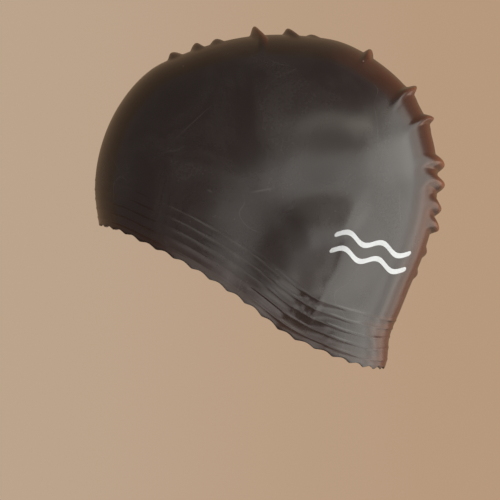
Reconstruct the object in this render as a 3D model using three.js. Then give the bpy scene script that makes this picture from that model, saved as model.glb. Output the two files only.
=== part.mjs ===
// A latex swim cap in the form that it takes on a head, moulded in one piece, in millimetres.
// +Z is up and the forehead faces -Y. The origin is inside the crown, where the top of the head bears.
import * as THREE from "three";

// Sizes of the worn cap, over the outside of the rubber.
const CAP_LENGTH = 191; // forehead to back, without the puckers
const CAP_WIDTH = 152; // across the head, without the ears
const CROWN_HEIGHT = 103.6; // crown above the level of the temples
const WALL = 1;
const SIDE_FULLNESS = 2.3; // 2 is a plain ellipse across the head, and more is squarer
const FRONT_NARROWING = 0.07; // share of the width that the forehead loses and the back gains
const CROWN_LEAN = 24; // degrees that the middle of the cap lies behind the vertical

// The wavy edge, and the ribs moulded in lines along it.
const SCALLOP_COUNT = 44;
const SCALLOP_DEPTH = 1.3;
const TIP_ROUNDNESS = 1.35; // 1 is pointed, and more is rounder
const RIB_COUNT = 5;
const RIB_MARGIN = 4.8; // edge to the middle of the first rib
const RIB_PITCH = 5.1;
const RIB_WIDTH = 2.4;
const RIB_HEIGHT = 0.5;
const HEM = RIB_MARGIN + (RIB_COUNT - 1) * RIB_PITCH + RIB_WIDTH; // edge to the foot of the dome

// The ears lift the rubber in a ridge, which falls in again behind them and in a hollow below the lobe.
const EAR_LIFT = 9;
const LOBE_HOLLOW = 2.6;
const EAR_SOFTNESS = 2.4; // the more, the softer the ridge's foot

// Rubber to spare along the middle of the cap stands up in puckers that run across it.
const PUCKER_HEIGHT = 5.5;
const PUCKER_WIDTH = 10;
const PUCKER_REACH = 50; // from the middle of the cap to where a pucker dies out
const PUCKER_ROUNDNESS = 1.5; // 1 is a parabola, and more has a flared foot
const SWING_START = 0.12; // the less, the nearer to the middle of the cap a pucker swings forward

// How finely the skins are faceted.
const EDGE_FACETS = SCALLOP_COUNT * 4;
const RIB_FACETS = SCALLOP_COUNT * 2;
const HEM_FACETS = SCALLOP_COUNT * 4;
const FACETS_PER_COLUMN = 8; // facets round the hem's top for each column of half the dome
const OUTSIDE_SPACING = 9;
const INSIDE_SPACING = 11;
const CLOSEST_PLACES = 0.8; // share of the spacing under which a place on the plain dome is left out
const PUCKER_ROWS = [-1, -0.6, -0.25, 0.25, 0.6, 1]; // across a pucker, as shares of half its width
const CLOSEST_ROWS = 1;

// Side outline: turn is from the forehead up and over, in degrees. reach is the distance from the middle of
// the form, as a share of the half length and crown height. Below the edge it gives the fall of the sides.
const OUTLINE = [
  { turn: 0, reach: 0.983 },
  { turn: 10, reach: 1.018 },
  { turn: 22, reach: 1.045 },
  { turn: 36, reach: 1.061 },
  { turn: 50, reach: 1.056 },
  { turn: 62, reach: 1.018 },
  { turn: 75, reach: 0.998 },
  { turn: 90, reach: 1 },
  { turn: 103, reach: 1.02 },
  { turn: 115, reach: 1.058 },
  { turn: 128, reach: 1.078 },
  { turn: 141, reach: 1.092 },
  { turn: 152, reach: 1.08 },
  { turn: 165, reach: 1.04 },
  { turn: 178, reach: 0.988 },
  { turn: 190, reach: 0.945 },
  { turn: 202, reach: 0.918 },
  { turn: 212, reach: 0.927 },
  { turn: 221, reach: 0.96 },
  { turn: 228, reach: 1.05 },
  { turn: 240, reach: 1.15 },
  { turn: 255, reach: 1.15 },
  { turn: 272, reach: 1.08 },
  { turn: 292, reach: 0.99 },
  { turn: 320, reach: 0.94 },
  { turn: 345, reach: 0.952 },
];

// Line of the edge in the side view: along is a share of the half length from the middle, to the back, and
// up is a share of the crown height.
const EDGE_LINE = [
  { along: -1.05, up: -0.02 },
  { along: -0.95, up: -0.038 },
  { along: -0.83, up: -0.075 },
  { along: -0.71, up: -0.13 },
  { along: -0.52, up: -0.217 },
  { along: -0.32, up: -0.326 },
  { along: -0.11, up: -0.457 },
  { along: 0.07, up: -0.588 },
  { along: 0.17, up: -0.644 },
  { along: 0.28, up: -0.69 },
  { along: 0.39, up: -0.735 },
  { along: 0.59, up: -0.797 },
  { along: 0.72, up: -0.805 },
  { along: 0.85, up: -0.8 },
];

// Crest of the ridge that each ear makes, from the lobe up, with along and up as for the edge line.
const EAR_CREST = [
  { up: -0.64, along: 0.12 },
  { up: -0.52, along: 0.18 },
  { up: -0.4, along: 0.29 },
  { up: -0.28, along: 0.375 },
  { up: -0.14, along: 0.415 },
  { up: 0, along: 0.42 },
  { up: 0.2, along: 0.42 },
];

// How far the ridge and the hollow reach, in the same shares. The ridge is highest at EAR_SPREAD.up.
const EAR_SPREAD = { up: -0.19, above: 0.4, below: 0.46, front: 0.58, back: 0.3 };
const HOLLOW_SPREAD = { along: 0.2, up: -0.63, reach: 0.17 };

// Puckers in order from the forehead, at turns of the outline. height, width, left and right are shares of
// the pucker sizes, and lean is how far the top tips back, as a share of the height. forward is how far
// the pucker swings to the forehead on its way down the side, as a share of half the dome.
const PUCKERS = [
  { turn: 58.8, height: 0.6, width: 0.95, left: 0.3, right: 0.6, lean: -0.25, forward: 0.03 },
  { turn: 66.5, height: 0.62, width: 0.84, left: 0.35, right: 0.6, lean: 0.15, forward: 0.03 },
  { turn: 73.1, height: 0.42, width: 0.87, left: 0.35, right: 0.55, lean: 0, forward: 0.04 },
  { turn: 86.7, height: 0.96, width: 0.76, left: 0.88, right: 0.7, lean: -0.1, forward: 0.05 },
  { turn: 97.9, height: 0.65, width: 0.82, left: 0.45, right: 0.6, lean: -0.2, forward: 0.05 },
  { turn: 105.1, height: 0.24, width: 0.77, left: 0.3, right: 0.45, lean: 0, forward: 0.06 },
  { turn: 124.1, height: 0.65, width: 0.62, left: 0.76, right: 0.64, lean: -0.2, forward: 0.11 },
  { turn: 140.7, height: 0.72, width: 0.6, left: 1, right: 0.76, lean: 0, forward: 0.12 },
  { turn: 150, height: 0.65, width: 0.64, left: 0.95, right: 0.72, lean: 0.15, forward: 0.12 },
  { turn: 163.3, height: 0.78, width: 1, left: 0.96, right: 0.7, lean: 0.1, forward: 0.21 },
  { turn: 169.5, height: 0.75, width: 1, left: 0.96, right: 0.74, lean: 0, forward: 0.22 },
  { turn: 176.4, height: 0.63, width: 1, left: 0.76, right: 0.64, lean: 0, forward: 0.19 },
  { turn: 181.9, height: 0.8, width: 0.95, left: 0.66, right: 0.6, lean: 0.15, forward: 0.16 },
  { turn: 190.8, height: 0.27, width: 0.72, left: 0.4, right: 0.5, lean: 0, forward: 0.1 },
  { turn: 198.4, height: 0.22, width: 0.68, left: 0.36, right: 0.4, lean: 0, forward: 0.04 },
];

const QUARTER_TURN = 90;
const FULL_TURN = 360;
const LAST_COLUMN = Math.PI / 4; // the angle of the column that is the hem's top itself
const NUDGE = 1e-3; // a step to either side, for slopes
const radians = THREE.MathUtils.degToRad;
const degrees = THREE.MathUtils.radToDeg;

// A smooth curve through the rows of a table, from the column named at to the column named value.
function curveThrough(table, at, value, period = 0) {
  const last = table.length - 1;
  const knot = (i) => {
    if (period) {
      const row = table[(i + table.length) % table.length];
      return [row[at] + Math.floor(i / table.length) * period, row[value]];
    }
    const row = table[Math.min(Math.max(i, 0), last)];
    return [row[at], row[value]];
  };
  const slope = (i) => {
    const [before, after] = [knot(i - 1), knot(i + 1)];
    return (after[1] - before[1]) / (after[0] - before[0]);
  };
  return (x) => {
    const start = table[0][at];
    const place = period
      ? start + ((((x - start) % period) + period) % period)
      : Math.min(Math.max(x, start), table[last][at]);
    let i = 0;
    while (i < (period ? last : last - 1) && knot(i + 1)[0] <= place) i += 1;
    const [[x0, y0], [x1, y1]] = [knot(i), knot(i + 1)];
    const [width, w] = [x1 - x0, (place - x0) / (x1 - x0)];
    return (
      y0 * (1 + 2 * w) * (1 - w) ** 2 +
      slope(i) * width * w * (1 - w) ** 2 +
      y1 * w * w * (3 - 2 * w) +
      slope(i + 1) * width * w * w * (w - 1)
    );
  };
}

const outlineReach = curveThrough(OUTLINE, "turn", "reach", FULL_TURN);
const edgeHeight = curveThrough(EDGE_LINE, "along", "up");
const earCrest = curveThrough(EAR_CREST, "up", "along");

// 1 at the middle of a swell, and 0 past its reach.
function swell(distance, reach, power = 2) {
  const share = distance / reach;
  return Math.abs(share) < 1 ? (1 - share * share) ** power : 0;
}

// How far the ears lift the rubber at a place in the side view.
function earLift(along, up) {
  const [pastCrest, aboveMiddle] = [along - earCrest(up), up - EAR_SPREAD.up];
  const across = swell(pastCrest, pastCrest < 0 ? EAR_SPREAD.front : EAR_SPREAD.back, EAR_SOFTNESS);
  const height = swell(aboveMiddle, aboveMiddle > 0 ? EAR_SPREAD.above : EAR_SPREAD.below, EAR_SOFTNESS);
  const fromHollow = Math.hypot(along - HOLLOW_SPREAD.along, up - HOLLOW_SPREAD.up);
  return EAR_LIFT * across * height - LOBE_HOLLOW * swell(fromHollow, HOLLOW_SPREAD.reach);
}

// The outside of the smooth rubber in one direction from the middle of the form. The direction's parts are
// shares of the half width, the half length and the crown height.
function formPoint(direction) {
  const { x, y, z } = direction;
  const inSide = Math.hypot(y, z) / outlineReach(degrees(Math.atan2(z, -y)));
  const size = (Math.abs(x) ** SIDE_FULLNESS + inSide ** SIDE_FULLNESS) ** (-1 / SIDE_FULLNESS);
  const [across, along, up] = [x * size, y * size, z * size];
  const halfWidth = (CAP_WIDTH / 2) * (1 + FRONT_NARROWING * along);
  return new THREE.Vector3(
    across * halfWidth + Math.sign(x) * earLift(along, up),
    (along * CAP_LENGTH) / 2,
    (up - 1) * CROWN_HEIGHT + WALL,
  );
}

// The way square out of the smooth rubber in one direction.
function formNormal(direction) {
  const side = new THREE.Vector3(0, 0, 1).cross(direction);
  if (side.length() < NUDGE) side.set(1, 0, 0);
  side.normalize();
  const rise = direction.clone().cross(side);
  const slopeAlong = (way) =>
    formPoint(direction.clone().addScaledVector(way, NUDGE)).sub(
      formPoint(direction.clone().addScaledVector(way, -NUDGE)),
    );
  return slopeAlong(side).cross(slopeAlong(rise)).normalize();
}

// Directions run from the middle of the cap down to its edge, round by round from the forehead to the left.
const MIDDLE = new THREE.Vector3(0, Math.sin(radians(CROWN_LEAN)), Math.cos(radians(CROWN_LEAN)));
const FORWARD = new THREE.Vector3(0, -MIDDLE.z, MIDDLE.y);
const LEFT = new THREE.Vector3(1, 0, 0);

function directionAt(around, down) {
  return MIDDLE.clone()
    .multiplyScalar(Math.cos(down))
    .addScaledVector(FORWARD, Math.sin(down) * Math.cos(around))
    .addScaledVector(LEFT, Math.sin(down) * Math.sin(around));
}

// How far down from the middle the edge line lies, found by halving between two angles that it lies between.
const HIGHEST_EDGE = 50;
const LOWEST_EDGE = 170;
const HALVINGS = 40;

function edgeDown(around) {
  let [above, below] = [radians(HIGHEST_EDGE), radians(LOWEST_EDGE)];
  for (let i = 0; i < HALVINGS; i += 1) {
    const down = (above + below) / 2;
    const point = formPoint(directionAt(around, down));
    const up = (point.z - WALL) / CROWN_HEIGHT + 1;
    if (up > edgeHeight(point.y / (CAP_LENGTH / 2))) above = down;
    else below = down;
  }
  return above;
}

// The edge is paced out once, so that scallops and facets are spaced evenly along it.
const PACES = 720;
const MERIDIAN_STEPS = 30;
const paces = [];
for (let i = 0; i <= PACES; i += 1) {
  const around = (i / PACES) * 2 * Math.PI;
  const down = edgeDown(around);
  const point = formPoint(directionAt(around, down));
  const walked = i ? paces[i - 1].walked + point.distanceTo(paces[i - 1].point) : 0;
  let depth = 0;
  for (let step = 1; step <= MERIDIAN_STEPS; step += 1) {
    const from = formPoint(directionAt(around, (down * (step - 1)) / MERIDIAN_STEPS));
    const to = formPoint(directionAt(around, (down * step) / MERIDIAN_STEPS));
    depth += from.distanceTo(to);
  }
  paces.push({ around, down, point, walked, depth });
}
const EDGE_LENGTH = paces[PACES].walked;

// What the pacing found at one station, a share of the way round the edge from the forehead.
function atStation(station) {
  const walked = station * EDGE_LENGTH;
  let [low, high] = [0, PACES];
  while (high - low > 1) {
    const middle = (low + high) >> 1;
    if (paces[middle].walked <= walked) low = middle;
    else high = middle;
  }
  const [a, b] = [paces[low], paces[high]];
  const share = (walked - a.walked) / (b.walked - a.walked);
  const between = (name) => a[name] + (b[name] - a[name]) * share;
  return { around: between("around"), down: between("down"), depth: between("depth") };
}

// Height of the moulded edge above its line: nothing at the tips and SCALLOP_DEPTH in the notches.
function notch(station) {
  return SCALLOP_DEPTH * Math.abs(Math.sin(Math.PI * station * SCALLOP_COUNT)) ** TIP_ROUNDNESS;
}

// A ring of places round the hem, each at a distance from the edge line that may go with its station.
function hemRing(count, rise) {
  return Array.from({ length: count }, (_, i) => {
    const station = i / count;
    const { around, down, depth } = atStation(station);
    const fromEdge = rise(station);
    return { station, fromEdge, direction: directionAt(around, down * (1 - fromEdge / depth)) };
  });
}

// A rib's section is a low roof, highest along its middle.
const ribLines = Array.from({ length: RIB_COUNT }, (_, i) => RIB_MARGIN + i * RIB_PITCH);

function ribHeight(fromEdge) {
  const nearest = Math.min(...ribLines.map((line) => Math.abs(fromEdge - line)));
  return RIB_HEIGHT * Math.max(0, 1 - nearest / (RIB_WIDTH / 2));
}

// The dome is laid out in rows across the cap and columns from its front to its back. A row is a place along
// the middle of the cap, from -1 at the front of the hem to 1 at the back. A column is the angle round the
// hem at which it starts and ends, from 0 in the middle to an eighth of a turn.
function domePlace(row, column, side) {
  const squared = Math.sin(column) ** 2;
  const swing = (squared / (squared + SWING_START)) * Math.cos(2 * column) ** 2;
  const swung = row - forwardAt(row) * swing;
  const [back, across] = [swung * Math.cos(column), Math.sin(column) * Math.sqrt(2 - swung * swung)];
  const station = Math.atan2(across, -back) / (2 * Math.PI);
  const { around, down, depth } = atStation(side > 0 ? station : 1 - station);
  const share = Math.hypot(back, across) * (1 - HEM / depth);
  return { row, direction: directionAt(around, down * share) };
}

function rowAtTurn(turn) {
  const fromMiddle = turn - QUARTER_TURN - CROWN_LEAN;
  const { down, depth } = atStation(fromMiddle < 0 ? 0 : 0.5);
  return radians(fromMiddle) / (down * (1 - HEM / depth));
}

// Each pucker lies along a row of its own, measured where the row crosses the middle of the cap.
const puckers = PUCKERS.map((shape) => ({ ...shape, row: rowAtTurn(shape.turn) }));
const [frontEnd, backEnd] = [-1, 1].map((row) => ({ row, forward: 0 }));
const forwardAt = curveThrough([frontEnd, ...puckers, backEnd], "row", "forward");
const middleAt = (row) => formPoint(domePlace(row, 0, 1).direction);
for (const pucker of puckers) {
  const run = middleAt(pucker.row + NUDGE).sub(middleAt(pucker.row - NUDGE));
  pucker.perRow = run.length() / (2 * NUDGE);
  pucker.back = run.normalize();
}

const puckerReach = (pucker, side) => PUCKER_REACH * (side > 0 ? pucker.left : pucker.right);

// How the puckers push the rubber out at a point of one row.
function puckerPush(row, point, normal) {
  const push = new THREE.Vector3();
  for (const pucker of puckers) {
    const across = (row - pucker.row) * pucker.perRow;
    const crest = swell(across, (PUCKER_WIDTH / 2) * pucker.width, PUCKER_ROUNDNESS);
    const height = PUCKER_HEIGHT * pucker.height * swell(point.x, puckerReach(pucker, point.x));
    push.addScaledVector(normal, height * crest);
    push.addScaledVector(pucker.back, pucker.lean * height * crest * crest);
  }
  return push;
}

function outsidePoint({ direction, fromEdge, row }) {
  const [point, normal] = [formPoint(direction), formNormal(direction)];
  if (row === undefined) return point.addScaledVector(normal, ribHeight(fromEdge));
  return point.add(puckerPush(row, point, normal));
}

function insidePoint({ direction }) {
  return formPoint(direction).addScaledVector(formNormal(direction), -WALL);
}

// Rows along the crest, flanks and feet of each pucker. Where puckers crowd, a foot gives way to a crest.
function puckerRows() {
  const rows = puckers.flatMap((pucker) =>
    PUCKER_ROWS.map((share) => {
      const across = (share * PUCKER_WIDTH * pucker.width) / 2;
      return { pucker, rank: Math.abs(share), row: pucker.row + across / pucker.perRow };
    }),
  );
  const isCrowded = (spot) =>
    rows.some((other) => {
      const gap = Math.abs(other.row - spot.row) * spot.pucker.perRow;
      const isBefore = other.rank < spot.rank || (other.rank === spot.rank && other.row < spot.row);
      return gap < CLOSEST_ROWS && isBefore;
    });
  return rows.filter((spot) => !isCrowded(spot)).sort((a, b) => a.row - b.row);
}

// The given rows, with evenly spaced ones where they stand far apart.
function fillRows(given, spacing) {
  const rows = [];
  let last = -1;
  for (const spot of [...given, { row: 1 }]) {
    const gap = middleAt(spot.row).distanceTo(middleAt(last));
    const parts = Math.max(1, Math.round(gap / spacing));
    for (let i = 1; i < parts; i += 1) rows.push({ row: last + ((spot.row - last) * i) / parts });
    if (spot.row < 1) rows.push(spot);
    last = spot.row;
  }
  return rows;
}

// Triangles between two strips of numbered points, each in order, which may both be closed loops.
function zip(outer, inner, closed = false) {
  const triangles = [];
  const at = (strip, i) => strip[i % strip.length].id;
  const order = (strip, i) => strip[i % strip.length].order + Math.floor(i / strip.length);
  const [lastOuter, lastInner] = [outer, inner].map((strip) => (closed ? strip.length : strip.length - 1));
  let [i, j] = [0, 0];
  while (i < lastOuter || j < lastInner) {
    const outerNext = j >= lastInner || (i < lastOuter && order(outer, i + 1) <= order(inner, j + 1));
    if (outerNext) {
      triangles.push([at(outer, i), at(outer, i + 1), at(inner, j)]);
      i += 1;
    } else {
      triangles.push([at(outer, i), at(inner, j + 1), at(inner, j)]);
      j += 1;
    }
  }
  return triangles;
}

const turnOver = (triangles) => triangles.map(([a, b, c]) => [c, b, a]);

// One side of the rubber: rings from the edge up the hem, and then the columns of the dome from its middle
// out to the hem. A column leaves out a row that no pucker needs and that comes too near the last.
function makeSkin(pointOf, hem, rows, spacing) {
  const points = [];
  const triangles = [];
  const add = (place) => points.push(pointOf(place)) - 1;
  const rings = hem.map((ring) => ring.map((place) => ({ id: add(place), order: place.station })));
  for (let i = 1; i < rings.length; i += 1) triangles.push(...zip(rings[i - 1], rings[i], true));

  const top = rings.at(-1).map((spot) => spot.id);
  const columnCount = top.length / FACETS_PER_COLUMN;
  const middle = rows.map(({ row }) => ({ id: add(domePlace(row, 0, 1)), order: row }));
  for (const side of [1, -1]) {
    const hemEnd = (i, order) => ({ id: top[side > 0 ? i : (top.length - i) % top.length], order });
    let outer = [hemEnd(0, -1), ...middle, hemEnd(top.length / 2, 1)];
    for (let k = 1; k <= columnCount; k += 1) {
      const column = [hemEnd(k, -1)];
      const end = hemEnd(top.length / 2 - k, 1);
      if (k === columnCount) {
        for (let i = k + 1; i < top.length / 2 - k; i += 1) {
          column.push(hemEnd(i, -Math.SQRT2 * Math.cos((2 * Math.PI * i) / top.length)));
        }
      } else {
        for (const { row, pucker } of rows) {
          const place = domePlace(row, (LAST_COLUMN * k) / columnCount, side);
          const point = pointOf(place);
          const onPucker = pucker && Math.abs(point.x) < puckerReach(pucker, side) + spacing;
          const nearest = Math.min(...[column.at(-1), end].map((spot) => point.distanceTo(points[spot.id])));
          if (nearest > spacing * CLOSEST_PLACES || onPucker) column.push({ id: add(place), order: row });
        }
      }
      column.push(end);
      const joined = zip(outer, column);
      triangles.push(...(side > 0 ? turnOver(joined) : joined));
      outer = column;
    }
  }
  return { points, triangles, edge: rings[0] };
}

// The cap: an outside skin with its ribs and puckers, an inside skin one wall in, and the edge between them.
function capGeometry() {
  const edgeRing = () => hemRing(EDGE_FACETS, notch);
  const ring = (count, fromEdge) => hemRing(count, () => fromEdge);
  const ribEdges = ribLines.flatMap((line) => [line - RIB_WIDTH / 2, line, line + RIB_WIDTH / 2]);
  const outside = makeSkin(
    outsidePoint,
    [edgeRing(), ...ribEdges.map((line) => ring(RIB_FACETS, line)), ring(HEM_FACETS, HEM)],
    fillRows(puckerRows(), OUTSIDE_SPACING),
    OUTSIDE_SPACING,
  );
  const inside = makeSkin(
    insidePoint,
    [edgeRing(), ring(HEM_FACETS, HEM / 2), ring(HEM_FACETS, HEM)],
    fillRows([], INSIDE_SPACING),
    INSIDE_SPACING,
  );
  const offset = outside.points.length;
  const insideEdge = inside.edge.map((spot) => ({ ...spot, id: spot.id + offset }));
  const triangles = [
    ...outside.triangles,
    ...turnOver(inside.triangles).map((triangle) => triangle.map((id) => id + offset)),
    ...zip(insideEdge, outside.edge, true),
  ];
  const positions = [...outside.points, ...inside.points].flatMap((point) => point.toArray());
  const geometry = new THREE.BufferGeometry();
  geometry.setAttribute("position", new THREE.Float32BufferAttribute(positions, 3));
  geometry.setIndex(triangles.flat());
  geometry.computeVertexNormals();
  return geometry;
}

const latex = new THREE.MeshStandardMaterial({ color: 0x1d1a18, roughness: 0.42, metalness: 0 });
const cap = new THREE.Mesh(capGeometry(), latex);
cap.name = "cap";

const swimCap = new THREE.Group();
swimCap.add(cap);

export default swimCap;
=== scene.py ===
import math

import bmesh
import bpy
import numpy as np
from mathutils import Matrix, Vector


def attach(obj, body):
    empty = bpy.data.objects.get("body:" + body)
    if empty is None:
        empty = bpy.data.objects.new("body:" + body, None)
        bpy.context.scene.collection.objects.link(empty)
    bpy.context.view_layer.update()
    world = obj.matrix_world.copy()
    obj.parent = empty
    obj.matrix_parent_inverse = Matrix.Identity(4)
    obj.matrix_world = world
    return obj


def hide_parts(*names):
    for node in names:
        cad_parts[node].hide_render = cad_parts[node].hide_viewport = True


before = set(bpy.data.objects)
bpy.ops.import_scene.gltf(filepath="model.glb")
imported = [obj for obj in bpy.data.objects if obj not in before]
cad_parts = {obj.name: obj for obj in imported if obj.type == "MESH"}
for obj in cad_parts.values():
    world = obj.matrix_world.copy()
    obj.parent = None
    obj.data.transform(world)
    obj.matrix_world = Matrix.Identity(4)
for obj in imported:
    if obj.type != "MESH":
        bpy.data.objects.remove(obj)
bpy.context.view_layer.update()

# The cap: one skin of black latex, dipped on a former, so its ribs, its wavy edge and its wall are one piece.
# Here it has its worn form: it holds on by its own stretch, spare rubber stands up in puckers along the
# middle, and a swell stands out over each ear. Lengths are in metres and share the part's own frame.
CAP_LENGTH = 0.191
CAP_WIDTH = 0.152
CROWN_HEIGHT = 0.1036
WALL = 0.001
SIDE_FULLNESS = 2.3
FRONT_NARROWING = 0.07
CROWN_LEAN = math.radians(24)

# Side outline: turn in degrees from the front up and over, reach as a share of half length and height.
OUTLINE = {
    0: 0.983, 10: 1.018, 22: 1.045, 36: 1.061, 50: 1.056, 62: 1.018, 75: 0.998, 90: 1.0, 103: 1.02,
    115: 1.058, 128: 1.078, 141: 1.092, 152: 1.08, 165: 1.04, 178: 0.988, 190: 0.945, 202: 0.918,
    212: 0.927, 221: 0.96, 228: 1.05, 240: 1.15, 255: 1.15, 272: 1.08, 292: 0.99, 320: 0.94, 345: 0.952,
}

# The edge's line in the side view: share of the half length to the back, and share of the crown height.
EDGE_LINE = {
    -1.05: -0.02, -0.95: -0.038, -0.83: -0.075, -0.71: -0.13, -0.52: -0.217, -0.32: -0.326, -0.11: -0.457,
    0.07: -0.588, 0.17: -0.644, 0.28: -0.69, 0.39: -0.735, 0.59: -0.797, 0.72: -0.805, 0.85: -0.8,
}


def curve_through(places, values, period=0.0):
    """A smooth curve through values at growing places, which starts again after a period."""
    at, value = np.array(places, float), np.array(values, float)
    start = at[0]
    if period:
        at = np.concatenate([at[-2:] - period, at, at[:2] + period])
        value = np.concatenate([value[-2:], value, value[:2]])
    knots = np.arange(len(at))
    before, after = np.maximum(knots - 1, 0), np.minimum(knots + 1, len(at) - 1)
    slope = (value[after] - value[before]) / (at[after] - at[before])

    def curve(x):
        place = (x - start) % period + start if period else np.clip(x, at[0], at[-1])
        i = np.clip(np.searchsorted(at, place, side="right") - 1, 0, len(at) - 2)
        width = at[i + 1] - at[i]
        w = (place - at[i]) / width
        return (
            value[i] * (1 + 2 * w) * (1 - w) ** 2
            + slope[i] * width * w * (1 - w) ** 2
            + value[i + 1] * w * w * (3 - 2 * w)
            + slope[i + 1] * width * w * w * (w - 1)
        )

    return curve


outline_reach = curve_through(list(OUTLINE), list(OUTLINE.values()), period=360.0)
edge_height = curve_through(list(EDGE_LINE), list(EDGE_LINE.values()))


def swell(distance, reach, power=2.0):
    """1 in the middle of a swell, and 0 past its reach."""
    share = np.clip(np.abs(distance / reach), 0, 1)
    return (1 - share * share) ** power


# Over each ear the rubber swells in a ridge that curls forward low down, with a hollow below it. The crest
# runs at a share of the half length for each share of the crown height, and the reaches are shares too.
EAR_LIFT = 0.009
EAR_CREST = {-0.64: 0.12, -0.52: 0.18, -0.4: 0.29, -0.28: 0.375, -0.14: 0.415, 0.0: 0.42, 0.2: 0.42}
EAR_LEVEL, EAR_ABOVE, EAR_BELOW = -0.19, 0.4, 0.46
EAR_FRONT, EAR_BACK = 0.58, 0.3
EAR_SOFTNESS = 2.4
LOBE_HOLLOW = {"along": 0.2, "up": -0.63, "reach": 0.17, "depth": 0.0026}
ear_crest = curve_through(list(EAR_CREST), list(EAR_CREST.values()))


def ear_lift(along, up):
    """How far the rubber stands out over an ear, at shares of the half length and the crown height."""
    past_crest = along - ear_crest(up)
    across = swell(past_crest, np.where(past_crest < 0, EAR_FRONT, EAR_BACK), EAR_SOFTNESS)
    height = swell(up - EAR_LEVEL, np.where(up > EAR_LEVEL, EAR_ABOVE, EAR_BELOW), EAR_SOFTNESS)
    hollow = np.hypot(along - LOBE_HOLLOW["along"], up - LOBE_HOLLOW["up"])
    return EAR_LIFT * across * height - LOBE_HOLLOW["depth"] * swell(hollow, LOBE_HOLLOW["reach"])


def form_point(direction):
    """The outside of the smooth rubber in each direction from the middle of the form."""
    x, y, z = direction.T
    in_side = np.hypot(y, z) / outline_reach(np.degrees(np.arctan2(z, -y)))
    size = (np.abs(x) ** SIDE_FULLNESS + in_side**SIDE_FULLNESS) ** (-1 / SIDE_FULLNESS)
    across, along, up = x * size, y * size, z * size
    half_width = CAP_WIDTH / 2 * (1 + FRONT_NARROWING * along)
    left = across * half_width + np.sign(x) * ear_lift(along, up)
    return np.stack([left, along * CAP_LENGTH / 2, (up - 1) * CROWN_HEIGHT + WALL], axis=-1)


NUDGE = 1e-3
SHORTEST = 1e-12


def unit(vectors):
    return vectors / np.maximum(np.linalg.norm(vectors, axis=-1, keepdims=True), SHORTEST)


def form_normal(direction):
    """The way square out of the smooth rubber in each direction."""
    side = np.stack([-direction[:, 1], direction[:, 0], np.zeros(len(direction))], axis=-1)
    side[np.linalg.norm(side, axis=-1) < NUDGE] = (1, 0, 0)
    side = unit(side)
    rise = np.cross(direction, side)
    slopes = []
    for way in (side, rise):
        slopes.append(form_point(direction + way * NUDGE) - form_point(direction - way * NUDGE))
    return unit(np.cross(*slopes))


MIDDLE = np.array([0, math.sin(CROWN_LEAN), math.cos(CROWN_LEAN)])
FORWARD = np.array([0, -MIDDLE[2], MIDDLE[1]])
LEFT = np.array([1.0, 0, 0])


def direction_at(around, down):
    """A direction by its turn from the front to the left, and its angle down from the middle of the cap."""
    around, down = np.broadcast_arrays(around, down)
    around, down = around[..., None], down[..., None]
    return MIDDLE * np.cos(down) + np.sin(down) * (FORWARD * np.cos(around) + LEFT * np.sin(around))


# The edge is paced out once, so that its waves are spaced evenly along it. At each pace, the angle down to
# the edge lies between two limits, which are halved in on it.
PACES = 1440
MERIDIAN_STEPS = 40
OVER_EDGE, PAST_EDGE = math.radians(50), math.radians(170)
HALVINGS = 30
around_at_pace = np.linspace(0, 2 * math.pi, PACES + 1)
above = np.full(PACES + 1, OVER_EDGE)
below = np.full(PACES + 1, PAST_EDGE)
for _ in range(HALVINGS):
    halfway = (above + below) / 2
    found = form_point(direction_at(around_at_pace, halfway))
    is_over = (found[:, 2] - WALL) / CROWN_HEIGHT + 1 > edge_height(found[:, 1] / (CAP_LENGTH / 2))
    above, below = np.where(is_over, halfway, above), np.where(is_over, below, halfway)
down_at_pace = above
steps = []
for n in range(MERIDIAN_STEPS + 1):
    steps.append(form_point(direction_at(around_at_pace, down_at_pace * n / MERIDIAN_STEPS)))
depth_at_pace = sum(np.linalg.norm(b - a, axis=-1) for a, b in zip(steps, steps[1:]))
walked = np.concatenate([[0], np.cumsum(np.linalg.norm(np.diff(steps[-1], axis=0), axis=-1))])
station_at_pace = walked / walked[-1]


def at_station(station):
    """Turn, angle down to the edge and length of the way down, at a share of the way round the edge."""
    return [np.interp(station, station_at_pace, v) for v in (around_at_pace, down_at_pace, depth_at_pace)]


# The hem has low ribs along the edge, and the edge runs in shallow scallops.
SCALLOP_COUNT = 44
SCALLOP_DEPTH = 0.0013
TIP_ROUNDNESS = 1.35
RIB_COUNT = 5
RIB_MARGIN = 0.0048
RIB_PITCH = 0.0051
RIB_WIDTH = 0.0024
RIB_HEIGHT = 0.00045
RIB_LINES = RIB_MARGIN + RIB_PITCH * np.arange(RIB_COUNT)
HEM = RIB_LINES[-1] + RIB_WIDTH


def notch_depth(stations):
    """How far the edge steps back from the tips of its scallops."""
    return SCALLOP_DEPTH * np.abs(np.sin(math.pi * stations * SCALLOP_COUNT)) ** TIP_ROUNDNESS


# The ribs are stretched nearly flat at the front and stand up more over the ear and behind it. Their height
# also drifts in a long wave and a short one, each with its amount and its turn for each metre back or up.
RIB_CROWDING = {"back": 0.033, "reach": 0.056, "gain": 0.6}
RIB_REST = 0.45
LONG_DRIFT = {"amount": 0.17, "back": 165}
SHORT_DRIFT = {"amount": 0.13, "back": 410, "up": 90}


def rib_strength(points):
    """The share of a rib's height that shows at each point."""
    side, back, up = np.sign(points[:, 0]), points[:, 1], points[:, 2]
    long = LONG_DRIFT["amount"] * np.sin(LONG_DRIFT["back"] * back + side)
    short = SHORT_DRIFT["amount"] * np.sin(SHORT_DRIFT["back"] * back + SHORT_DRIFT["up"] * up)
    crowded = RIB_CROWDING["gain"] * swell(back - RIB_CROWDING["back"], RIB_CROWDING["reach"])
    return RIB_REST + (long + short) + crowded


def rib_height(from_edge, points):
    """How far the ribs stand out at each point, by its distance from the edge."""
    nearest = np.min(np.abs(np.asarray(from_edge)[..., None] - RIB_LINES), axis=-1)
    return RIB_HEIGHT * swell(nearest, RIB_WIDTH / 2) * rib_strength(points)


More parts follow.
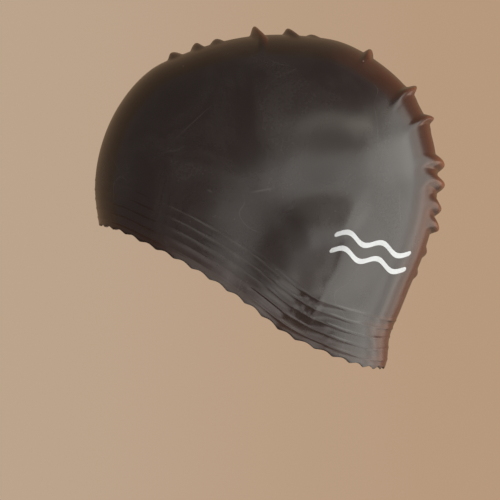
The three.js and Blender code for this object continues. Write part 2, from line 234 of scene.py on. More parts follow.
# Folds pinched in at the foot of the swell, on both sides of the cap: both ends as metres to the back and
# up, height, and half the width.
LOBE_FOLDS = (
    {"ends": ((0.0305, -0.1440), (0.0225, -0.1605)), "height": 0.0005, "width": 0.0034},
    {"ends": ((0.0225, -0.1420), (0.0145, -0.1590)), "height": -0.0004, "width": 0.0036},
    {"ends": ((0.0060, -0.1370), (0.0210, -0.1470)), "height": -0.0004, "width": 0.0013},
    {"ends": ((-0.0100, -0.1395), (0.0100, -0.1545)), "height": -0.0005, "width": 0.0012},
)
FOLD_END_SHARPNESS = 4


def fold_height(points):
    """How far the folds stand out at each point."""
    seen = points[:, 1:]
    height = np.zeros(len(points))
    for fold in LOBE_FOLDS:
        start, end = (np.array(corner) for corner in fold["ends"])
        share = np.clip((seen - start) @ (end - start) / ((end - start) @ (end - start)), 0, 1)
        distance = np.linalg.norm(seen - start - share[:, None] * (end - start), axis=-1)
        at_ends = (2 * share - 1) ** FOLD_END_SHARPNESS
        height += fold["height"] * swell(distance, fold["width"]) * (1 - at_ends)
    return height


# Puckers in order from the front: turn of the outline, height and width in metres, reach to the left and to
# the right from the middle, lean of the top to the back as a share of the height, swing forward, and the
# height of the broad foot that two of them stand on.
PUCKERS = np.array([
    (58.8, 0.0033, 0.0095, 0.015, 0.030, -0.25, 0.03, 0),
    (66.5, 0.0034, 0.0084, 0.0175, 0.030, 0.15, 0.03, 0),
    (73.1, 0.0023, 0.0087, 0.0175, 0.0275, 0, 0.04, 0),
    (86.7, 0.0053, 0.0076, 0.044, 0.035, -0.1, 0.05, 0),
    (97.9, 0.0036, 0.0082, 0.0225, 0.030, -0.2, 0.05, 0),
    (105.1, 0.0013, 0.0077, 0.015, 0.0225, 0, 0.06, 0),
    (124.1, 0.0036, 0.0062, 0.038, 0.032, -0.2, 0.11, 0),
    (140.7, 0.004, 0.006, 0.050, 0.038, 0, 0.12, 0.0009),
    (150, 0.0036, 0.0064, 0.0475, 0.036, 0.15, 0.12, 0.0009),
    (163.3, 0.0043, 0.010, 0.048, 0.035, 0.1, 0.21, 0),
    (169.5, 0.0041, 0.010, 0.048, 0.037, 0, 0.22, 0),
    (176.4, 0.0035, 0.010, 0.038, 0.032, 0, 0.19, 0),
    (181.9, 0.0044, 0.0095, 0.033, 0.030, 0.15, 0.16, 0),
    (190.8, 0.0015, 0.0072, 0.020, 0.025, 0, 0.1, 0),
    (198.4, 0.0012, 0.0068, 0.018, 0.020, 0, 0.04, 0),
])
SWING_START = 0.12
ROUNDNESS = 1.5
WOBBLE, WOBBLES, WOBBLE_TURN = 0.0003, 210, 2
FOOT_WIDTH, FOOT_SHIFT, FOOT_REACH = 0.015, 0.002, 0.056
FULL_CREST = 0.0055


def row_at_turn(turn):
    """The row of a place on the middle line, by the turn of the outline there."""
    from_middle = np.radians(turn - 90) - CROWN_LEAN
    _, down, depth = at_station(np.where(from_middle < 0, 0.0, 0.5))
    return from_middle / (down * (1 - HEM / depth))


pucker_rows = row_at_turn(PUCKERS[:, 0])
forward_at = curve_through([-1, *pucker_rows, 1], [0, *PUCKERS[:, 6], 0])


def dome_direction(row, column):
    """Direction of a place on the crown, by its row across the cap and the angle of its column."""
    squared = np.sin(column) ** 2
    swing = squared / (squared + SWING_START) * np.cos(2 * column) ** 2
    swung = row - forward_at(row) * swing
    back, across = swung * np.cos(column), np.sin(np.abs(column)) * np.sqrt(2 - swung * swung)
    station = np.arctan2(across, -back) / (2 * math.pi)
    around, down, depth = at_station(np.where(column < 0, 1 - station, station))
    return direction_at(around, down * np.hypot(back, across) * (1 - HEM / depth))


def middle_point(row):
    return form_point(dome_direction(row, np.zeros_like(row)))


pucker_run = middle_point(pucker_rows + NUDGE) - middle_point(pucker_rows - NUDGE)
length_per_row = np.linalg.norm(pucker_run, axis=-1) / (2 * NUDGE)
pucker_back = unit(pucker_run)


def pucker_push(row, points, normals):
    """How the puckers push the rubber out, and how near each point is to a crest, from 0 to 1."""
    push, crest_share = np.zeros_like(points), np.zeros(len(points))
    for n, (_, height, width, left, right, lean, _, foot) in enumerate(PUCKERS):
        wobble = WOBBLE * np.sin(WOBBLES * points[:, 0] + WOBBLE_TURN * n)
        across = (row - pucker_rows[n]) * length_per_row[n] + wobble
        crest = swell(across, width / 2, ROUNDNESS)
        fade = swell(points[:, 0], np.where(points[:, 0] > 0, left, right))
        push += normals * (height * fade * crest)[:, None]
        if foot:
            broad = swell(across - FOOT_SHIFT, FOOT_WIDTH / 2) * swell(points[:, 0], FOOT_REACH)
            push += normals * (foot * broad)[:, None]
        push += pucker_back[n] * (lean * height * fade * crest**2)[:, None]
        crest_share = np.maximum(crest_share, crest * fade * height / FULL_CREST)
    return push, crest_share


# The outside skin: rings up the hem, and rows and columns over the crown that crowd together at the puckers.
POINTS_PER_SCALLOP = 16
HEM_POINTS = SCALLOP_COUNT * POINTS_PER_SCALLOP
RIB_STEPS = np.array([-1, -0.66, -0.33, 0, 0.33, 0.66, 1]) * RIB_WIDTH / 2
ROWS = 380
COLUMNS = 112
MIDDLE_SAMPLES = 4001
CROWDING_GAIN = 2.2
CROWDING_REACH = 0.75

even_rows = np.linspace(-1, 1, MIDDLE_SAMPLES)
step_lengths = np.linalg.norm(np.diff(middle_point(even_rows), axis=0), axis=-1)
between = (even_rows[1:] + even_rows[:-1]) / 2
near_puckers = []
for pucker_row, per_row, width in zip(pucker_rows, length_per_row, PUCKERS[:, 2]):
    near_puckers.append(swell((between - pucker_row) * per_row, width * CROWDING_REACH, 1))
crowding = 1 + CROWDING_GAIN * np.max(near_puckers, axis=0)
grown = np.concatenate([[0], np.cumsum(step_lengths * crowding)])
rows = np.interp(np.linspace(0, grown[-1], ROWS + 1), grown, even_rows)
columns = np.linspace(-math.pi / 4, math.pi / 4, COLUMNS + 1)

points, faces, crests = [], [], []


def add(new_points, crest=0.0):
    """Adds points to the mesh, and gives their numbers."""
    first = sum(len(group) for group in points)
    points.append(new_points)
    crests.append(np.broadcast_to(np.asarray(crest, float), (len(new_points),)))
    return np.arange(first, first + len(new_points))


def bridge(lower, upper, lower_order, upper_order, flip=False):
    """Triangles between two closed rings of points, by the order in which both go round."""
    i = j = 0
    while i < len(lower) or j < len(upper):
        a, b = lower[i % len(lower)], upper[j % len(upper)]
        next_lower = lower_order[(i + 1) % len(lower)] + (i + 1) // len(lower)
        next_upper = upper_order[(j + 1) % len(upper)] + (j + 1) // len(upper)
        if j >= len(upper) or (i < len(lower) and next_lower <= next_upper):
            face = (a, lower[(i + 1) % len(lower)], b)
            i += 1
        else:
            face = (a, upper[(j + 1) % len(upper)], b)
            j += 1
        faces.append(face[::-1] if flip else face)


def band(lower, upper, flip=False):
    """Four-sided faces between two closed rings of as many points."""
    a, b, c, d = lower, np.roll(lower, -1), np.roll(upper, -1), upper
    quads = np.stack([d, c, b, a] if flip else [a, b, c, d], axis=-1)
    faces.extend(map(tuple, quads.tolist()))


def crown(rows, columns, place, flip=False):
    """The crown's grid: its outer ring of points and their stations, once it is added."""
    row, column = (v.ravel() for v in np.meshgrid(rows, columns, indexing="ij"))
    grid = place(row, column).reshape(len(rows), len(columns))
    a, b, c, d = grid[:-1, :-1], grid[:-1, 1:], grid[1:, 1:], grid[1:, :-1]
    order = [d, c, b, a] if flip else [a, b, c, d]
    faces.extend(map(tuple, np.stack(order, axis=-1).reshape(-1, 4).tolist()))
    middle = len(columns) // 2
    last_front = grid[0, 1:middle]
    ring = np.concatenate([grid[0, middle:], grid[1:, -1], grid[-1, -2::-1], grid[-2::-1, 0], last_front])
    side = np.arccos(np.clip(-rows / math.sqrt(2), -1, 1)) / (2 * math.pi)
    front = columns[middle:] / (2 * math.pi)
    back = 0.5 - columns[-2::-1] / (2 * math.pi)
    front_again = 1 + columns[1:middle] / (2 * math.pi)
    stations = np.concatenate([front, side[1:], back, 1 - side[-2::-1], front_again])
    return ring, stations


def outside_crown(row, column):
    """Adds points of the crown's outside, with its puckers and folds."""
    direction = dome_direction(row, column)
    form, normals = form_point(direction), form_normal(direction)
    push, crest = pucker_push(row, form, normals)
    return add(form + push + normals * fold_height(form)[:, None], crest)


def inside_crown(row, column):
    """Adds points of the crown's smooth inside, one wall in."""
    direction = dome_direction(row, column)
    return add(form_point(direction) - form_normal(direction) * WALL)


def hem_ring(stations, from_edge, depth_in=0.0, is_outside=False):
    """Points round the hem at a distance from the edge, and so far in from the outside of the rubber."""
    around, down, depth = at_station(stations)
    direction = direction_at(around, down * (1 - from_edge / depth))
    form, normals = form_point(direction), form_normal(direction)
    out = rib_height(from_edge, form) + fold_height(form) if is_outside else 0
    return form + normals * (out - np.broadcast_to(depth_in, len(form)))[:, None]


# The lip is rounded over a short way from the edge, and the scallops die out further up. Towards the edge the
# red-brown share grows: partly the thin latex's own tint, partly a painted reflection of the warm wall. All
# levels are distances from the edge.
LIP_ROUND = 0.00015
LIP_TOP = 0.0005
LIP_SINK = 0.00001
SCALLOP_FADE = 0.003
EDGE_LEVELS = [0.0018, 0.0023, 0.0029]
EDGE_TINT_AND_REFLECTION = 0.3
hem_stations = np.arange(HEM_POINTS) / HEM_POINTS
notch = notch_depth(hem_stations)
rib_levels = (RIB_LINES[:, None] + RIB_STEPS).ravel()
between_ribs = (RIB_LINES[1:] + RIB_LINES[:-1]) / 2
hem_levels = np.sort(np.concatenate([EDGE_LEVELS, rib_levels, between_ribs]))

edge_ring = add(hem_ring(hem_stations, notch, WALL / 2))
ring = edge_ring
for level, depth_in in ((LIP_ROUND, LIP_ROUND), (LIP_TOP, LIP_SINK)):
    next_ring = add(hem_ring(hem_stations, notch + level, depth_in))
    band(ring, next_ring)
    ring = next_ring
for level in hem_levels:
    share = min(level / SCALLOP_FADE, 1)
    hem_points = hem_ring(hem_stations, level + (1 - share) * notch, is_outside=True)
    # Each ring's share of red-brown: partly the thin latex's own tint, partly a painted reflection of the
    # warm wall.
    next_ring = add(hem_points, EDGE_TINT_AND_REFLECTION * (1 - level / HEM))
    band(ring, next_ring)
    ring = next_ring
crown_ring, crown_stations = crown(rows, columns, outside_crown)
bridge(ring, crown_ring, hem_stations, crown_stations)

# The inside skin, one wall in, is smooth but for the edge, so it has fewer points.
INNER_POINTS = HEM_POINTS // 2
INNER_START = 0.0028
INNER_LEVELS = (0.008, 0.0145, 0.021)
INNER_ROWS = 100
ring = edge_ring
for level, depth_in in ((LIP_ROUND, WALL - LIP_ROUND), (LIP_TOP, WALL)):
    next_ring = add(hem_ring(hem_stations, notch + level, depth_in))
    band(ring, next_ring, flip=True)
    ring = next_ring
inner_stations = np.arange(INNER_POINTS) / INNER_POINTS
next_ring = add(hem_ring(inner_stations, np.full(INNER_POINTS, INNER_START), WALL))
bridge(ring, next_ring, hem_stations, inner_stations, flip=True)
ring = next_ring
for level in INNER_LEVELS:
    next_ring = add(hem_ring(inner_stations, np.full(INNER_POINTS, level), WALL))
    band(ring, next_ring, flip=True)
    ring = next_ring
inner_ring, inner_order = crown(np.linspace(-1, 1, INNER_ROWS + 1), columns[::2], inside_crown, flip=True)
bridge(ring, inner_ring, inner_stations, inner_order, flip=True)

mesh = bpy.data.meshes.new("cap_rubber")
mesh.from_pydata(np.concatenate(points).tolist(), [], faces)
mesh.validate()
mesh.shade_smooth()
# The crest values, which also carry the edge's share, place the red-brown painted reflection in the latex.
crest_values = mesh.attributes.new("crest", "FLOAT", "POINT").data
crest_values.foreach_set("value", np.concatenate(crests).astype(np.float32))
cap = bpy.data.objects.new("cap_rubber", mesh)
bpy.context.scene.collection.objects.link(cap)


# Its latex: black, with a soft uneven gloss, a faint haze of the powder it was packed in, a few specks of
# dust, and a red-brown cast on the crest of a pucker and towards the edge: partly the thin latex's own tint,
# partly a painted reflection of the warm wall.
def new_group(name, inputs, outputs):
    """An empty node group with named inputs, their starting values, and named outputs."""
    group = bpy.data.node_groups.new(name, "ShaderNodeTree")
    for socket, value in inputs.items():
        made = group.interface.new_socket(socket, in_out="INPUT", socket_type="NodeSocketFloat")
        made.default_value = value
    for socket in outputs:
        group.interface.new_socket(socket, in_out="OUTPUT", socket_type="NodeSocketFloat")
    return group, group.nodes.new("NodeGroupInput").outputs, group.nodes.new("NodeGroupOutput").inputs


def add_node(tree, kind, inputs=None, **settings):
    """A node with its settings, and for each input a value or the output that feeds it."""
    made = tree.nodes.new(kind)
    for name, value in settings.items():
        setattr(made, name, value)
    for socket, value in (inputs or {}).items():
        if isinstance(value, bpy.types.NodeSocket):
            tree.links.new(value, made.inputs[socket])
        else:
            made.inputs[socket].default_value = value
    return made


def noise(tree, place, scale, detail=2.0, roughness=0.5, distortion=0.0):
    """A soft random pattern, from 0 to 1."""
    inputs = {
        "Vector": place, "Scale": scale, "Detail": detail, "Roughness": roughness, "Distortion": distortion,
    }
    return add_node(tree, "ShaderNodeTexNoise", inputs).outputs["Fac"]


def remap(tree, value, low, high, to_low=0.0, to_high=1.0):
    """Carries a value softly from one range to another, and stops it at both ends."""
    inputs = {"Value": value, "From Min": low, "From Max": high, "To Min": to_low, "To Max": to_high}
    return add_node(tree, "ShaderNodeMapRange", inputs, interpolation_type="SMOOTHSTEP").outputs["Result"]


def math_node(tree, operation, a, b=0.0):
    return add_node(tree, "ShaderNodeMath", {0: a, 1: b}, operation=operation).outputs[0]


def object_place(tree):
    return add_node(tree, "ShaderNodeTexCoord").outputs["Object"]


# Powder lies in soft clouds, broken up by a fine mottle.
haze_group, given, put_out = new_group("powder_haze", {"Clouds": 22.0, "Mottle": 620.0}, ["Haze"])
place = object_place(haze_group)
clouds = noise(haze_group, place, given["Clouds"], detail=5, roughness=0.6, distortion=0.6)
clouds = remap(haze_group, clouds, low=0.36, high=0.72)
mottle = noise(haze_group, place, given["Mottle"], detail=3, roughness=0.6)
mottle = remap(haze_group, mottle, low=0.3, high=0.75, to_low=0.55)
haze_group.links.new(math_node(haze_group, "MULTIPLY", clouds, mottle), put_out["Haze"])

# The dipped skin is not quite even: a long soft ripple, a lower orange peel and a fine grain, the lowest.
PEEL_HEIGHT = 0.16
GRAIN_HEIGHT = 0.05
skin_scales = {"Ripple": 55.0, "Peel": 420.0, "Grain": 2400.0}
skin_group, given, put_out = new_group("dipped_skin", skin_scales, ["Height"])
place = object_place(skin_group)
ripple = noise(skin_group, place, given["Ripple"], distortion=0.4)
peel = math_node(skin_group, "MULTIPLY", noise(skin_group, place, given["Peel"]), PEEL_HEIGHT)
grain = math_node(skin_group, "MULTIPLY", noise(skin_group, place, given["Grain"], detail=1), GRAIN_HEIGHT)
skin_height = math_node(skin_group, "ADD", math_node(skin_group, "ADD", ripple, peel), grain)
skin_group.links.new(skin_height, put_out["Height"])

# Specks of dust, in some of the cells of a wide pattern. The other cells stay clean.
CLEAN_CELLS = 0.76
speck_group, given, put_out = new_group("dust_specks", {"Cells": 62.0, "Size": 0.03}, ["Speck"])
cell_inputs = {"Vector": object_place(speck_group), "Scale": given["Cells"]}
cells = add_node(speck_group, "ShaderNodeTexVoronoi", cell_inputs)
draw = add_node(speck_group, "ShaderNodeSeparateColor", {"Color": cells.outputs["Color"]}).outputs
is_near = math_node(speck_group, "LESS_THAN", cells.outputs["Distance"], given["Size"])
is_drawn = math_node(speck_group, "GREATER_THAN", draw["Red"], CLEAN_CELLS)
speck = math_node(speck_group, "MULTIPLY", is_near, is_drawn)
speck = math_node(speck_group, "MULTIPLY", speck, draw["Green"])
speck_group.links.new(speck, put_out["Speck"])

# Scuffs are hair lines, broken up, that run where a slow pattern crosses its middle value.
MIDDLE_VALUE = 0.5
SCUFF_BREAKS = 31.0
scuff_group, given, put_out = new_group("hair_scuffs", {"Spread": 17.0, "Thickness": 0.003}, ["Scuff"])
place = object_place(scuff_group)
slow = noise(scuff_group, place, given["Spread"], detail=1, roughness=0.4, distortion=0.8)
slow = math_node(scuff_group, "SUBTRACT", slow, MIDDLE_VALUE)
off_line = math_node(scuff_group, "ABSOLUTE", slow)
hair_line = remap(scuff_group, off_line, low=given["Thickness"], high=0.0)
unbroken = remap(scuff_group, noise(scuff_group, place, SCUFF_BREAKS), low=0.52, high=0.62)
scuff_group.links.new(math_node(scuff_group, "MULTIPLY", hair_line, unbroken), put_out["Scuff"])

BLACK = (0.0145, 0.0098, 0.0092, 1)
POWDER = (0.085, 0.08, 0.078, 1)
# Red-brown for pucker crests and the edge: partly the thin latex's own tint, partly a painted reflection of
# the warm wall.
RED_TINT_AND_REFLECTION = (0.115, 0.045, 0.024, 1)
DUST = (0.62, 0.59, 0.54, 1)


def blend(tree, share, under, over):
    """One colour over another, by a share."""
    made = add_node(tree, "ShaderNodeMix", data_type="RGBA", clamp_factor=True)
    for socket, value in ((0, share), (6, under), (7, over)):
        if isinstance(value, bpy.types.NodeSocket):
            tree.links.new(value, made.inputs[socket])
        else:
            made.inputs[socket].default_value = value
    return made.outputs[2]


def use_group(tree, group, **values):
    """What a group puts out in a material, with the material's own values."""
    return add_node(tree, "ShaderNodeGroup", values, node_tree=group).outputs[0]


# Faint straight scratches on the left side: their ends as metres to the back and up, half their width, and
# the share of powder that shows in them. Each fades out over a part of its length at both ends.
SCRATCH_FADE = 0.4
SCRATCHES = (
    {"ends": ((-0.0280, -0.0376), (-0.0530, -0.0606)), "width": 0.0005, "share": 0.2},
    {"ends": ((-0.0100, -0.0880), (0.0065, -0.0850)), "width": 0.0009, "share": 0.4},
    {"ends": ((-0.0330, -0.0860), (-0.0290, -0.0880)), "width": 0.0008, "share": 0.35},
)


def scratch_mask(tree, place, scratch):
    """How much of a scratch shows at a place, fading at both of its ends."""
    start, end = (Vector((0, *corner)) for corner in scratch["ends"])
    run = end - start
    square = Vector((0, -run.z, run.y))
    length = run.length
    on_line = {0: place, 1: run / length**2}
    off_line = {0: place, 1: square / length}
    along = add_node(tree, "ShaderNodeVectorMath", on_line, operation="DOT_PRODUCT").outputs["Value"]
    across = add_node(tree, "ShaderNodeVectorMath", off_line, operation="DOT_PRODUCT").outputs["Value"]
    along = math_node(tree, "SUBTRACT", along, start.dot(run) / length**2)
    across = math_node(tree, "SUBTRACT", across, start.dot(square) / length)
    off_line = math_node(tree, "ABSOLUTE", across)
    line = remap(tree, off_line, low=scratch["width"], high=0.0, to_high=scratch["share"])
    first_end = remap(tree, along, low=0.0, high=SCRATCH_FADE)
    last_end = remap(tree, along, low=1.0, high=1 - SCRATCH_FADE)
    ends = math_node(tree, "MULTIPLY", first_end, last_end)
    left_side = add_node(tree, "ShaderNodeSeparateXYZ", {"Vector": place}).outputs["X"]
    on_left = math_node(tree, "GREATER_THAN", left_side, 0.0)
    return math_node(tree, "MULTIPLY", math_node(tree, "MULTIPLY", line, ends), on_left)


POWDER_COVER = 0.22
SCUFF_COVER = 0.3
GLOSSY, HAZY = 0.22, 0.31
SPECK_ROUGHNESS = 0.3
RIPPLE_DEPTH = 0.00022
BUMP_STRENGTH = 0.5
latex = bpy.data.materials.new("black_latex")
latex.use_nodes = True
tree = latex.node_tree
haze = use_group(tree, haze_group)
skin = use_group(tree, skin_group)
specks = use_group(tree, speck_group)
scuffs = use_group(tree, scuff_group)
crest = add_node(tree, "ShaderNodeAttribute", attribute_name="crest").outputs["Fac"]
# Where the red-brown goes, on pucker crests and near the edge: partly thin latex's tint, partly painted
# reflection.
tint_and_reflection = remap(tree, crest, low=0.12, high=0.85)
colour = blend(tree, math_node(tree, "MULTIPLY", haze, POWDER_COVER), BLACK, POWDER)
colour = blend(tree, tint_and_reflection, colour, RED_TINT_AND_REFLECTION)
colour = blend(tree, math_node(tree, "MULTIPLY", scuffs, SCUFF_COVER), colour, POWDER)
for scratch in SCRATCHES:
    colour = blend(tree, scratch_mask(tree, object_place(tree), scratch), colour, POWDER)
colour = blend(tree, specks, colour, DUST)
roughness = remap(tree, haze, low=0.0, high=1.0, to_low=GLOSSY, to_high=HAZY)
roughness = math_node(tree, "ADD", roughness, math_node(tree, "MULTIPLY", specks, SPECK_ROUGHNESS))
bump_inputs = {"Strength": BUMP_STRENGTH, "Distance": RIPPLE_DEPTH, "Height": skin}
bump = add_node(tree, "ShaderNodeBump", bump_inputs)
shader = tree.nodes["Principled BSDF"]
tree.links.new(colour, shader.inputs["Base Color"])
tree.links.new(roughness, shader.inputs["Roughness"])
tree.links.new(bump.outputs["Normal"], shader.inputs["Normal"])
mesh.materials.append(latex)

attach(cap, "root")
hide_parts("cap")

# The print: two even wavy lines, the common sign for water, in white ink on the left side. It is screened on
# flat before the rubber is stretched, and has the thickness of one coat.
WAVE_LENGTH = 0.044
WAVE_WIDTH = 0.0029
WAVE_GAP = 0.0092
WAVE_RISE = 0.0021
WAVE_COUNT = 2.25
INK = 0.00007
PRINT_MIDDLE = np.array([0.0575, -0.1205])
PRINT_SLOPE = math.radians(-17)
WAVE_STEPS, ACROSS_STEPS = 120, 8
WELD = 1e-7


def side_direction(back, up):
    """Direction of the place on the left side of the form that the side view shows there."""
    along, high = back / (CAP_LENGTH / 2), (up - WALL) / CROWN_HEIGHT + 1
    in_side = np.hypot(along, high) / outline_reach(np.degrees(np.arctan2(high, -along)))
    return np.stack([(1 - in_side**SIDE_FULLNESS) ** (1 / SIDE_FULLNESS), along, high], axis=-1)


def wave_layer(offset, lift):
    """Points of one wavy line, steps along by steps across, so far out from the rubber."""
    along, across = np.meshgrid(
        np.linspace(-0.5, 0.5, WAVE_STEPS + 1), np.linspace(-1, 1, ACROSS_STEPS + 1), indexing="ij"
    )
    half = WAVE_WIDTH / 2
    to_end = np.clip((0.5 - np.abs(along)) * WAVE_LENGTH / half, 0, 1)
    rounded = half * np.sqrt(1 - (1 - to_end) ** 2)
    wave = offset + WAVE_RISE * np.sin(2 * math.pi * WAVE_COUNT * along) + across * rounded
    run = along * WAVE_LENGTH
    back = PRINT_MIDDLE[0] + run * math.cos(PRINT_SLOPE) - wave * math.sin(PRINT_SLOPE)
    up = PRINT_MIDDLE[1] + run * math.sin(PRINT_SLOPE) + wave * math.cos(PRINT_SLOPE)
    direction = side_direction(back.ravel(), up.ravel())
    return form_point(direction) + form_normal(direction) * lift


wave_points, wave_faces = [], []
grid = np.arange((WAVE_STEPS + 1) * (ACROSS_STEPS + 1)).reshape(WAVE_STEPS + 1, ACROSS_STEPS + 1)
rim = np.concatenate([grid[0, :], grid[1:, -1], grid[-1, -2::-1], grid[-2:0:-1, 0]])
quads = np.stack([grid[:-1, :-1], grid[1:, :-1], grid[1:, 1:], grid[:-1, 1:]], axis=-1).reshape(-1, 4)
for offset in (WAVE_GAP / 2, -WAVE_GAP / 2):
    top = sum(len(layer) for layer in wave_points)
    under = top + grid.size
    wave_points += [wave_layer(offset, INK), wave_layer(offset, -INK)]
    walls = np.stack([top + rim, top + np.roll(rim, -1), under + np.roll(rim, -1), under + rim], axis=-1)
    wave_faces += [top + quads, under + quads[:, ::-1], walls]
wave_mesh = bpy.data.meshes.new("wave_print")
wave_mesh.from_pydata(np.concatenate(wave_points).tolist(), [], np.concatenate(wave_faces).tolist())
wave_print = bpy.data.objects.new("wave_print", wave_mesh)
bpy.context.scene.collection.objects.link(wave_print)
welder = bmesh.new()
welder.from_mesh(wave_mesh)
bmesh.ops.remove_doubles(welder, verts=welder.verts, dist=WELD)
bmesh.ops.recalc_face_normals(welder, faces=welder.faces)
welder.to_mesh(wave_mesh)
welder.free()

# The ink is flatter than the rubber. It is worn in clouds, and fine scratches show the black through it.
WHITE_INK = (0.42, 0.45, 0.475, 1)
WORN_INK = (0.2, 0.2, 0.2, 1)
WEAR_COVER = 0.25
SCRATCHED_THROUGH = 0.6
FRESH_ROUGHNESS, WORN_ROUGHNESS = 0.42, 0.55
INK_RIPPLE_DEPTH = 0.0002
ink = bpy.data.materials.new("white_ink")
ink.use_nodes = True
tree = ink.node_tree
haze = use_group(tree, haze_group, Clouds=60.0)
scuffs = use_group(tree, scuff_group, Spread=70.0, Thickness=0.006)
colour = blend(tree, math_node(tree, "MULTIPLY", haze, WEAR_COVER), WHITE_INK, WORN_INK)
colour = blend(tree, math_node(tree, "MULTIPLY", scuffs, SCRATCHED_THROUGH), colour, BLACK)
skin = use_group(tree, skin_group)
bump_inputs = {"Strength": BUMP_STRENGTH, "Distance": INK_RIPPLE_DEPTH, "Height": skin}
bump = add_node(tree, "ShaderNodeBump", bump_inputs)
roughness = remap(tree, haze, low=0.0, high=1.0, to_low=FRESH_ROUGHNESS, to_high=WORN_ROUGHNESS)
shader = tree.nodes["Principled BSDF"]
tree.links.new(colour, shader.inputs["Base Color"])
tree.links.new(roughness, shader.inputs["Roughness"])
tree.links.new(bump.outputs["Normal"], shader.inputs["Normal"])
wave_mesh.materials.append(ink)
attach(wave_print, "root")

# The camera looks straight at the left side of the cap, from far off.
CAMERA_DISTANCE = 4.0
FRAME_WIDTH = 0.28
SENSOR_WIDTH = 36
VIEW_CENTRE = Vector((0, -0.00896, -0.1194))
camera_data = bpy.data.cameras.new("camera")
camera = bpy.data.objects.new("camera", camera_data)
bpy.context.scene.collection.objects.link(camera)
bpy.context.scene.camera = camera
camera_data.sensor_width = SENSOR_WIDTH
camera_data.lens = SENSOR_WIDTH * CAMERA_DISTANCE / FRAME_WIDTH
camera.location = VIEW_CENTRE + Vector((CAMERA_DISTANCE, 0, 0))
camera.rotation_euler = (math.radians(90), 0, math.radians(90))

# A pale painted floor, far below the cap, so that it can be looked at from below as well.
FLOOR_DROP = 3.6
FLOOR_REACH = 12
FLOOR_COLOUR = (0.5, 0.38, 0.3, 1)
FLOOR_ROUGHNESS = 0.8
corner_ways = ((-1, -1), (1, -1), (1, 1), (-1, 1))
corners = [(x * FLOOR_REACH, y * FLOOR_REACH, -FLOOR_DROP) for x, y in corner_ways]
floor_mesh = bpy.data.meshes.new("floor")
floor_mesh.from_pydata(corners, [], [(0, 1, 2, 3)])
floor = bpy.data.objects.new("floor", floor_mesh)
bpy.context.scene.collection.objects.link(floor)
floor_paint = bpy.data.materials.new("floor_paint")
floor_paint.use_nodes = True
shader = floor_paint.node_tree.nodes["Principled BSDF"]
shader.inputs["Base Color"].default_value = FLOOR_COLOUR
shader.inputs["Roughness"].default_value = FLOOR_ROUGHNESS
floor_mesh.materials.append(floor_paint)

# Pale warm walls all round, a little darker behind the back of the cap than in front of it. What they throw
# on the cap is dimmer, and redder from its far side.
WALL_LEFT = (0.505, 0.372, 0.265, 1)
WALL_RIGHT = (0.475, 0.318, 0.205, 1)
ROOM = (0.27, 0.225, 0.205, 1)
FAR_WALL = (0.31, 0.2, 0.12, 1)
RED_WALL = (0.45, 0.17, 0.085, 1)
world = bpy.data.worlds.new("room")
bpy.context.scene.world = world
world.use_nodes = True
tree = world.node_tree
tree.nodes.clear()
way = add_node(tree, "ShaderNodeTexCoord").outputs["Generated"]
ways = add_node(tree, "ShaderNodeSeparateXYZ", {"Vector": way}).outputs
seen_colour = blend(tree, remap(tree, ways["Y"], low=-0.04, high=0.04), WALL_LEFT, WALL_RIGHT)
wall_colour = blend(tree, remap(tree, ways["Y"], low=0.1, high=0.45), FAR_WALL, RED_WALL)
lit_colour = blend(tree, remap(tree, ways["X"], low=-0.27, high=-0.37), ROOM, wall_colour)
seen = add_node(tree, "ShaderNodeBackground", {"Color": seen_colour}).outputs[0]
lit = add_node(tree, "ShaderNodeBackground", {"Color": lit_colour}).outputs[0]
is_seen = add_node(tree, "ShaderNodeLightPath").outputs["Is Camera Ray"]
mixed = add_node(tree, "ShaderNodeMixShader", {0: is_seen, 1: lit, 2: seen}).outputs[0]
add_node(tree, "ShaderNodeOutputWorld", {"Surface": mixed})

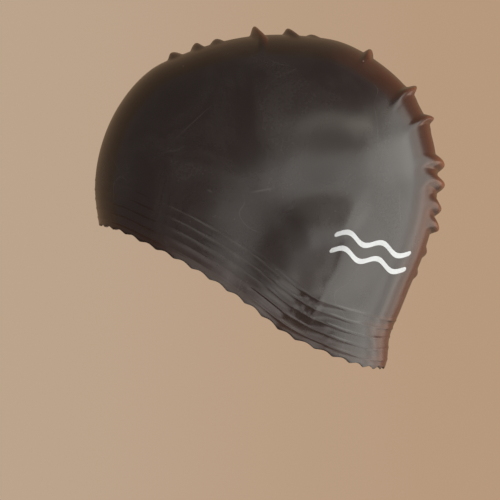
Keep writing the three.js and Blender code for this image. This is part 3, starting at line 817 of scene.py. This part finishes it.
# Soft boxes stand round the cap: a tall window and the wall that it lights at the cap's back, a dimmer wall
# beside the camera with a brighter stripe along its top, a cream ceiling and low bounces. Where they overlap,
# their light adds up. Places and sizes are angles seen from the cap, in degrees.
CAP_MIDDLE = Vector((0, 0, -0.1))
SOFTBOX_DISTANCE = 2.0
DAYLIGHT = (1.0, 1.0, 0.94)
WARM_WALL = (1.0, 0.95, 0.9)
CREAM_CEILING = (1.0, 0.94, 0.82)
SOFTBOXES = (
    {"name": "back_wall", "azimuth": 88, "elevation": -8, "width": 76, "height": 86, "radiance": 1.45,
     "colour": DAYLIGHT},
    {"name": "window", "azimuth": 82, "elevation": -10, "width": 44, "height": 74, "radiance": 1.1,
     "colour": DAYLIGHT},
    {"name": "window_top", "azimuth": 76, "elevation": 15, "width": 56, "height": 20, "radiance": 1.05,
     "colour": DAYLIGHT},
    {"name": "window_edge", "azimuth": 134, "elevation": -26, "width": 26, "height": 52, "radiance": 0.85,
     "colour": (1.0, 0.8, 0.68)},
    {"name": "side_middle", "azimuth": 40, "elevation": -16, "width": 38, "height": 68, "radiance": 0.55,
     "colour": DAYLIGHT},
    {"name": "side_wall", "azimuth": 4, "elevation": -24, "width": 62, "height": 54, "radiance": 1.1,
     "colour": WARM_WALL},
    {"name": "side_stripe", "azimuth": 23, "elevation": 13, "width": 58, "height": 21, "radiance": 1.6,
     "colour": DAYLIGHT},
    {"name": "front_stripe", "azimuth": -9, "elevation": 8, "width": 26, "height": 14, "radiance": 0.6,
     "colour": WARM_WALL},
    {"name": "high_fill", "azimuth": 30, "elevation": 31, "width": 60, "height": 26, "radiance": 0.6,
     "colour": CREAM_CEILING},
    {"name": "high_strip", "azimuth": 31, "elevation": 41.5, "width": 50, "height": 9, "radiance": 1.2,
     "colour": CREAM_CEILING},
    {"name": "high_back", "azimuth": 72, "elevation": 40, "width": 56, "height": 13, "radiance": 1.1,
     "colour": CREAM_CEILING},
    {"name": "low_front", "azimuth": -36, "elevation": -38, "width": 44, "height": 44, "radiance": 1.2,
     "colour": WARM_WALL},
    {"name": "low_back", "azimuth": 95, "elevation": -64, "width": 90, "height": 30, "radiance": 0.9,
     "colour": WARM_WALL},
)
for box in SOFTBOXES:
    turn, rise = math.radians(box["azimuth"]), math.radians(box["elevation"])
    out = Vector((math.cos(rise) * math.cos(turn), math.cos(rise) * math.sin(turn), math.sin(rise)))
    light = bpy.data.lights.new(box["name"], "AREA")
    light.shape = "RECTANGLE"
    light.size = 2 * SOFTBOX_DISTANCE * math.tan(math.radians(box["width"]) / 2)
    light.size_y = 2 * SOFTBOX_DISTANCE * math.tan(math.radians(box["height"]) / 2)
    light.energy = box["radiance"] * math.pi * light.size * light.size_y
    light.color = box["colour"]
    lamp = bpy.data.objects.new(box["name"], light)
    bpy.context.scene.collection.objects.link(lamp)
    lamp.location = CAP_MIDDLE + out * SOFTBOX_DISTANCE
    lamp.rotation_mode = "QUATERNION"
    lamp.rotation_quaternion = out.to_track_quat("Z", "Y")
    lamp.visible_camera = False

bpy.context.scene.view_settings.view_transform = "Standard"
